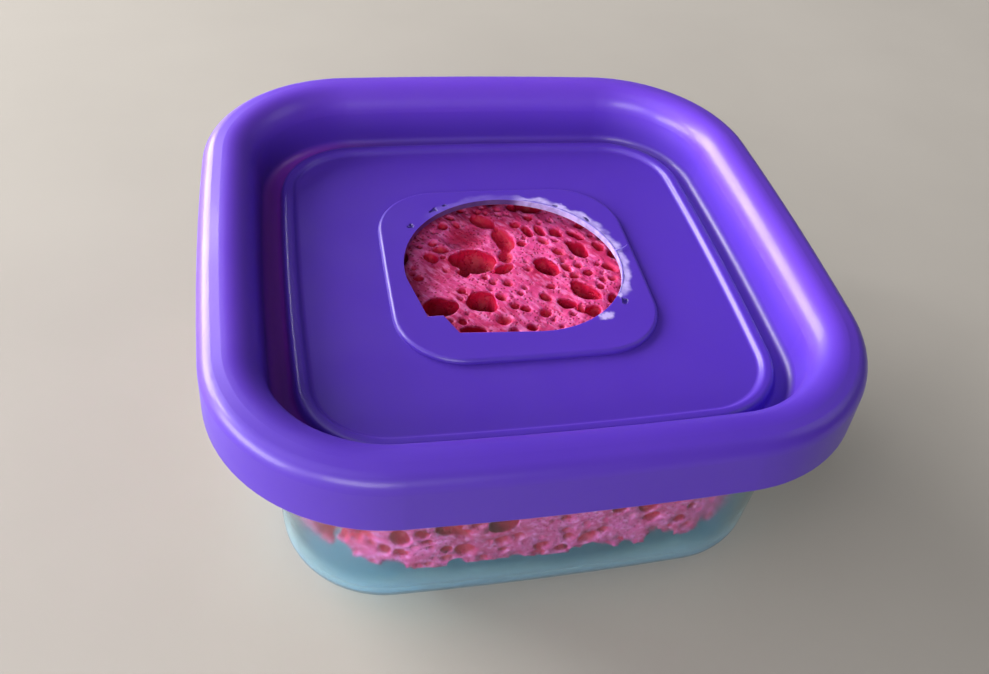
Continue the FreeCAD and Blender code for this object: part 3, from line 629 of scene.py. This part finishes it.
def pore_cutter(pores):
    """One mesh of stretched and turned balls, rounder where they are larger."""
    ball_mesh = bpy.data.meshes.new("pore_ball")
    balls = bmesh.new()
    for pore in pores:
        half = Vector(pore[3:6])
        finer = 3 if max(half) > LARGE_BALL else 2 if max(half) > MIDDLING_BALL else 1
        ball = bmesh.new()
        bmesh.ops.create_icosphere(ball, subdivisions=finer, radius=1,
                                   matrix=Matrix.LocRotScale(Vector(pore[:3]), Euler(pore[6:]), half))
        ball.to_mesh(ball_mesh)
        ball.free()
        balls.from_mesh(ball_mesh)
    mesh = bpy.data.meshes.new("pore_cutter")
    balls.to_mesh(mesh)
    balls.free()
    bpy.data.meshes.remove(ball_mesh)
    return mesh


def add_modifier(piece, kind, **settings):
    """Adds a modifier of a kind, with its settings."""
    modifier = piece.modifiers.new(kind.lower(), kind)
    for name, setting in settings.items():
        setattr(modifier, name, setting)


def clouds(name, size):
    """A soft noise for moving a surface in and out."""
    texture = bpy.data.textures.new(name, "CLOUDS")
    texture.noise_scale = size
    return texture


def thin_out(sponge):
    """Takes out faces, mostly where the lid hides them, so that the pores in the hole keep theirs."""
    spare = sponge.vertex_groups.new(name="spare")
    heights = [vertex.co.z for vertex in sponge.data.vertices]
    reaches = [vertex.co.xy.length for vertex in sponge.data.vertices]
    hidden = [i for i, (z, reach) in enumerate(zip(heights, reaches))
              if z < SPONGE_HIGH.z - SHOWN_LAYER or reach > SHOWN_REACH]
    spare.add(hidden, 1.0, "REPLACE")
    add_modifier(sponge, "DECIMATE", ratio=SPONGE_FACES / (2 * len(sponge.data.polygons)),
                 vertex_group="spare", vertex_group_factor=2.0, use_collapse_triangulate=True)
    apply_modifiers(sponge)
    sponge.vertex_groups.clear()


def make_sponge(material):
    """The damp sponge: a block with its pores cut out, remeshed, swelled unevenly and thinned out."""
    rng = np.random.default_rng(PORE_SEED)
    shape = sponge_block()
    hull = BVHTree.FromBMesh(shape)
    pores = sponge_pores(hull, rng)
    mesh = bpy.data.meshes.new("sponge_block")
    shape.to_mesh(mesh)
    shape.free()
    sponge = new_piece("damp_sponge", mesh, material)
    cutters = []
    for batch in pore_batches(pores):
        cutter = new_piece("pore_cutter", pore_cutter(pores[batch]), material)
        add_modifier(sponge, "BOOLEAN", operation="DIFFERENCE", solver="MANIFOLD", object=cutter)
        cutters.append(cutter)
    add_modifier(sponge, "REMESH", mode="VOXEL", voxel_size=SPONGE_VOXEL)
    apply_modifiers(sponge)
    for cutter in cutters:
        bpy.data.objects.remove(cutter)
    depth = sponge.data.attributes.new("depth", "FLOAT", "POINT")
    depth.data.foreach_set("value", [hull.find_nearest(vertex.co)[3] for vertex in sponge.data.vertices])
    for name, size, strength, direction in SPONGE_SWELLS:
        add_modifier(sponge, "DISPLACE", texture=clouds(name, size), texture_coords="LOCAL",
                     direction=direction, strength=strength, mid_level=1.0)
    add_modifier(sponge, "SMOOTH", factor=0.4, iterations=1)
    apply_modifiers(sponge)
    thin_out(sponge)
    sponge.data.shade_smooth()
    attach(sponge, "sponge")
    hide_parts("sponge")


def finish_on_lid(name, shape, material):
    """Makes a piece of a shape and lets it ride on the lid."""
    bmesh.ops.recalc_face_normals(shape, faces=shape.faces[:])
    mesh = bpy.data.meshes.new(name)
    shape.to_mesh(mesh)
    shape.free()
    mesh.shade_smooth()
    piece = new_piece(name, mesh, material)
    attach(piece, "lid")


def make_burr(material):
    """The lip that the blade raised: a low uneven ridge along the whitened stretch of the hole's edge."""
    shape = bmesh.new()
    crest = Vector((CUT_RADIUS + BURR_WIDTH / 2, 0, 0))
    upright = Matrix.Rotation(math.pi / 2, 4, "X")
    start = Matrix.Rotation(WHITENED_FROM, 4, "Z") @ Matrix.Translation(crest) @ upright
    sweep = WHITENED_TO - WHITENED_FROM
    bmesh.ops.create_circle(shape, segments=BURR_SIDES, radius=BURR_WIDTH / 2, matrix=start)
    bmesh.ops.spin(shape, geom=shape.verts[:] + shape.edges[:], axis=(0, 0, 1),
                   angle=sweep, steps=BURR_STEPS)
    bmesh.ops.holes_fill(shape, edges=[edge for edge in shape.edges if edge.is_boundary])
    for vertex in shape.verts:
        angle = math.atan2(vertex.co.y, vertex.co.x)
        along = (angle - WHITENED_FROM) / sweep
        tears = BURR_TEAR_SIZE * noise.noise((along * BURR_TEARS, 0, 0))
        nicks = BURR_NICK_SIZE * noise.noise((along * BURR_NICKS, 7, 0))
        size = max(BURR_PLAIN_SIZE + (tears + nicks), BURR_LEAST_SIZE)
        nearest_end = min(along, 1 - along)
        ends = min(1, BURR_END_SLOPE * nearest_end + BURR_END_SIZE)
        middle = Matrix.Rotation(angle, 3, "Z") @ crest
        offset = (vertex.co - middle) * size * ends
        offset.z *= 2 * BURR_HEIGHT / BURR_WIDTH
        vertex.co = middle + offset
    bmesh.ops.translate(shape, verts=shape.verts[:], vec=CUT_MIDDLE + Vector((0, 0, PAD_TOP)))
    finish_on_lid("hole_burr", shape, material)


def make_sliver(material):
    """A hair of plastic left on the hole's edge."""
    shape = bmesh.new()
    run = SLIVER_TO - SLIVER_FROM
    bmesh.ops.create_cone(shape, cap_ends=True, segments=8, radius1=SLIVER_WIDTH / 2,
                          radius2=SLIVER_WIDTH / 6, depth=run.length)
    long_edges = [edge for edge in shape.edges if edge.calc_length() > run.length / 2]
    bmesh.ops.subdivide_edges(shape, edges=long_edges, cuts=5)
    for vertex in shape.verts:
        vertex.co.x += SLIVER_BOW * (2 * vertex.co.z / run.length) ** 2
    aim = run.to_track_quat("Z", "Y").to_matrix().to_4x4()
    middle = (SLIVER_FROM + SLIVER_TO) / 2
    bmesh.ops.transform(shape, matrix=Matrix.Translation(middle) @ aim, verts=shape.verts[:])
    finish_on_lid("hole_sliver", shape, material)


def make_floor(material):
    """The board that the part stands on."""
    shape = bmesh.new()
    bmesh.ops.create_grid(shape, x_segments=1, y_segments=1, size=FLOOR_HALF)
    mesh = bpy.data.meshes.new("studio_floor")
    shape.to_mesh(mesh)
    shape.free()
    new_piece("studio_floor", mesh, material)


def add_window(name, azimuth, elevation, width, height, power):
    """A soft rectangular light that faces the part. Azimuth 0 is in front of it and 90 on its right."""
    light = bpy.data.lights.new(name, "AREA")
    light.shape = "RECTANGLE"
    light.size = width
    light.size_y = height
    light.energy = power
    light.color = linear(LAMP_COLOUR)[:3]
    lamp = bpy.data.objects.new(name, light)
    turn = Euler((math.radians(90 - elevation), 0, math.radians(azimuth))).to_matrix().to_4x4()
    away = Matrix.Translation((0, 0, LIGHT_DISTANCE))
    lamp.matrix_world = Matrix.Translation(LIGHT_TARGET) @ turn @ away
    bpy.context.scene.collection.objects.link(lamp)


def make_light():
    """The soft lights and the dim room round them."""
    for window in WINDOWS:
        add_window(*window)
    world = bpy.data.worlds.new("room")
    world.use_nodes = True
    background = world.node_tree.nodes["Background"]
    background.inputs["Color"].default_value = linear(ROOM_COLOUR)
    background.inputs["Strength"].default_value = ROOM_STRENGTH
    bpy.context.scene.world = world
    bpy.context.scene.view_settings.view_transform = "Standard"


def make_camera():
    """The camera at the photograph's angle."""
    lens = bpy.data.cameras.new("camera")
    lens.lens = CAMERA_LENS
    lens.shift_x, lens.shift_y = CAMERA_SHIFT
    lens.clip_start = 1 * MM
    camera = bpy.data.objects.new("camera", lens)
    tilt = Matrix.Rotation(math.pi / 2 - CAMERA_ELEVATION, 4, "X")
    turn = Matrix.Rotation(CAMERA_AZIMUTH, 4, "Z") @ tilt
    camera.matrix_world = Matrix.Translation(CAMERA_PLACE) @ turn @ Matrix.Rotation(CAMERA_ROLL, 4, "Z")
    bpy.context.scene.collection.objects.link(camera)
    bpy.context.scene.camera = camera


def dress(node, material):
    """Gives a CAD node its finish."""
    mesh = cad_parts[node].data
    mesh.materials.clear()
    mesh.materials.append(material)


dress("lid", lid_polyethylene())
dress("tub", tub_polypropylene())
make_sponge(sponge_cellulose())
torn_plastic = torn_polyethylene()
make_burr(torn_plastic)
make_sliver(torn_plastic)
make_floor(studio_floor())
make_light()
make_camera()
